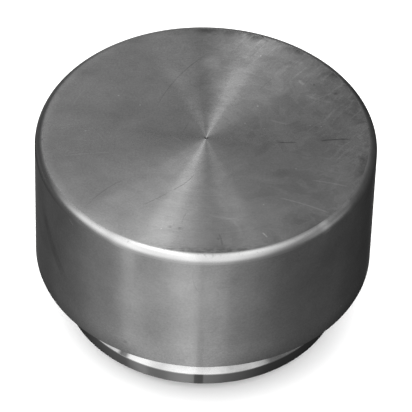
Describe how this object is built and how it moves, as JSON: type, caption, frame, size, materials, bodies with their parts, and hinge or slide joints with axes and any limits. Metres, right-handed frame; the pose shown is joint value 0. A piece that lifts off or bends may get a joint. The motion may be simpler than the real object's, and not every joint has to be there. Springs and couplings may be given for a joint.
{
  "type": "pipe cap",
  "caption": "Turned steel screw-on pipe cap on a weld-on threaded pipe stub, with a floating sealed closing plate and a retaining ring.",
  "frame": {"origin": "centre of the stub's weld end, in the plane of its root face, on the pipe axis", "axes": "+Z along the pipe axis, from the weld end up to the cap's flat head; X and Y are equal, the thread groove starts over +X"},
  "size_m": [0.107, 0.107, 0.0692],
  "materials": {
    "turned_steel": "fine turned",
    "stub_steel": "fine turned",
    "plate_steel": "turned",
    "spring_steel": "rolled",
    "seal_rubber": "moulded",
    "dust_rubber": "moulded",
    "washer_bronze": "rolled"
  },
  "bodies": {
    "stub": {"weld_stub": "stub_steel", "dust_o_ring": "dust_rubber"},
    "plate": {"closing_plate": "plate_steel", "face_o_ring": "seal_rubber", "slip_washer": "washer_bronze"},
    "cap": {"cap_shell": "turned_steel", "retaining_ring": "spring_steel"}
  },
  "joints": [
    {"name": "cap_lift", "type": "slide", "parent": "stub", "child": "plate", "axis": [0, 0, 1], "range_m": [0, 0.018]},
    {"name": "cap_turn", "type": "hinge", "parent": "plate", "child": "cap", "pos_m": [0, 0, 0.045], "axis": [0, 0, 1], "range_deg": [0, 2160]}
  ],
  "couplings": [
    {"joint": "cap_lift", "follows": "cap_turn", "m_per_rad": 0.00047746}
  ]
}
